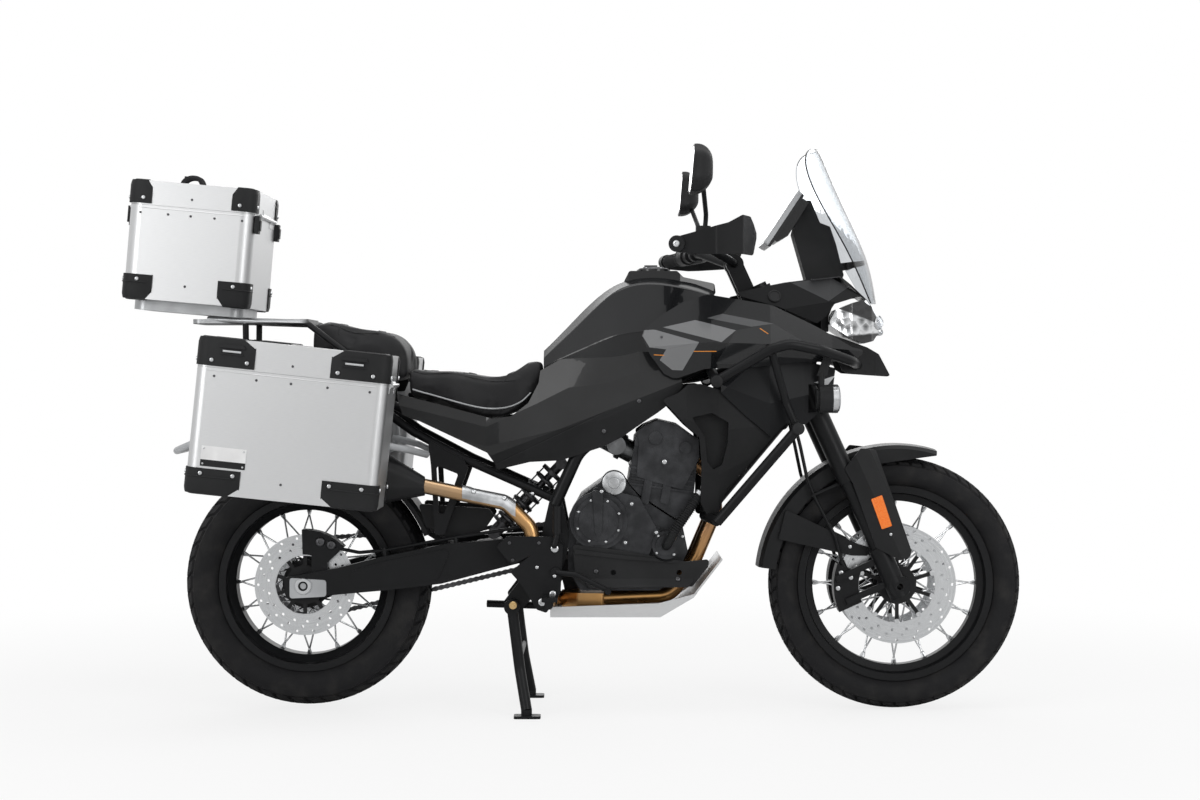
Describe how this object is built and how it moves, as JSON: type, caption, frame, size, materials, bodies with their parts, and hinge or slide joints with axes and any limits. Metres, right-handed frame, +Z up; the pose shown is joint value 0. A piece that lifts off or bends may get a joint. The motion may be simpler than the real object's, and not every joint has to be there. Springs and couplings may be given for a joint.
{
  "type": "adventure motorcycle",
  "caption": "Adventure touring motorcycle on its centre stand, with windscreen, crash bars, spoked wheels, aluminium side cases and top case.",
  "frame": {"origin": "on the floor, under the middle of the whole machine", "axes": "+X forward, +Y to the rider's left, +Z up"},
  "size_m": [2.3107, 0.98, 1.457],
  "materials": {
    "gloss_black": "gloss painted plastic",
    "satin_black": "satin moulded plastic",
    "frame_black": "satin black powder coat",
    "engine_grey": "dark grey painted casting",
    "bronze_pipe": "heat tinted steel",
    "steel": "brushed steel",
    "aluminium": "brushed aluminium sheet",
    "silver_paint": "silver paint",
    "tyre": "road and gravel tyre",
    "rubber": "moulded rubber",
    "seat_cover": "grained seat cover",
    "clear": "clear polycarbonate",
    "lamp_glass": "clear lamp lens",
    "screen_glass": "dark display glass"
  },
  "bodies": {
    "chassis": {"main_frame": "frame_black", "rear_subframe": "frame_black", "crankcase": "engine_grey", "cylinders": "engine_grey", "intake": "engine_grey", "exhaust_pipes": "bronze_pipe", "silencer": "frame_black", "skid_plate": "aluminium", "belly_covers": "satin_black", "fuel_tank": "gloss_black", "radiator": "frame_black", "side_fairings": "gloss_black", "radiator_shrouds": "satin_black", "front_cowl": "satin_black", "headlight": "lamp_glass", "beak": "satin_black", "windscreen": "clear", "instrument_tower": "satin_black", "dash_display": "screen_glass", "crash_bars": "frame_black", "fog_lamps": "satin_black", "rider_seat": "seat_cover", "pillion_seat": "seat_cover", "side_covers": "satin_black", "tail_panels": "satin_black", "plate_carrier": "satin_black", "swingarm": "frame_black", "shock_absorber": "steel", "drive_chain": "steel", "rear_hugger": "satin_black", "rear_caliper": "frame_black", "footrests": "frame_black", "pannier_frame": "silver_paint", "top_rack": "frame_black", "right_pannier": "aluminium", "left_pannier": "aluminium", "top_case": "aluminium"},
    "steering": {"triple_clamp": "frame_black", "fork_legs": "frame_black", "fork_guards": "satin_black", "front_calipers": "frame_black", "front_fender": "satin_black", "handlebar": "frame_black", "hand_controls": "rubber", "hand_guards": "satin_black", "mirrors": "satin_black"},
    "front_wheel": {"front_tyre": "tyre", "front_rim": "frame_black", "front_hub": "steel", "front_discs": "steel"},
    "rear_wheel": {"rear_tyre": "tyre", "rear_rim": "frame_black", "rear_hub": "steel", "rear_disc": "steel"},
    "centre_stand": {"centre_stand": "frame_black"},
    "side_stand": {"side_stand": "frame_black"},
    "right_pannier_lid": {"right_pannier_lid": "aluminium"},
    "left_pannier_lid": {"left_pannier_lid": "aluminium"},
    "top_case_lid": {"top_case_lid": "aluminium"}
  },
  "joints": [
    {"name": "steering", "type": "hinge", "parent": "chassis", "child": "steering", "pos_m": [0.78424, 0, 0.3127], "axis": [-0.4147, 0, 0.91], "range_deg": [-36, 36]},
    {"name": "front_wheel_spin", "type": "hinge", "parent": "steering", "child": "front_wheel", "pos_m": [0.82, 0, 0.329], "axis": [0, 1, 0], "continuous": true},
    {"name": "rear_wheel_spin", "type": "hinge", "parent": "chassis", "child": "rear_wheel", "pos_m": [-0.71114, 0, 0.33093], "axis": [0, 1, 0], "continuous": true},
    {"name": "centre_stand_fold", "type": "hinge", "parent": "chassis", "child": "centre_stand", "pos_m": [-0.175, 0, 0.28], "axis": [0, 1, 0], "range_deg": [0, 91]},
    {"name": "side_stand_swing", "type": "hinge", "parent": "chassis", "child": "side_stand", "pos_m": [-0.01, 0.15, 0.246], "axis": [-0.1133, -0.8417, -0.528], "range_deg": [0, 98]},
    {"name": "right_pannier_lid_hinge", "type": "hinge", "parent": "chassis", "child": "right_pannier_lid", "pos_m": [-0.45232, 0, 0.84712], "axis": [0, 1, 0], "range_deg": [0, 85]},
    {"name": "left_pannier_lid_hinge", "type": "hinge", "parent": "chassis", "child": "left_pannier_lid", "pos_m": [-0.45232, 0, 0.84712], "axis": [0, 1, 0], "range_deg": [0, 85]},
    {"name": "top_case_lid_hinge", "type": "hinge", "parent": "chassis", "child": "top_case_lid", "pos_m": [-0.81925, 0, 1.27896], "axis": [0, 1, 0], "range_deg": [0, 90]}
  ]
}
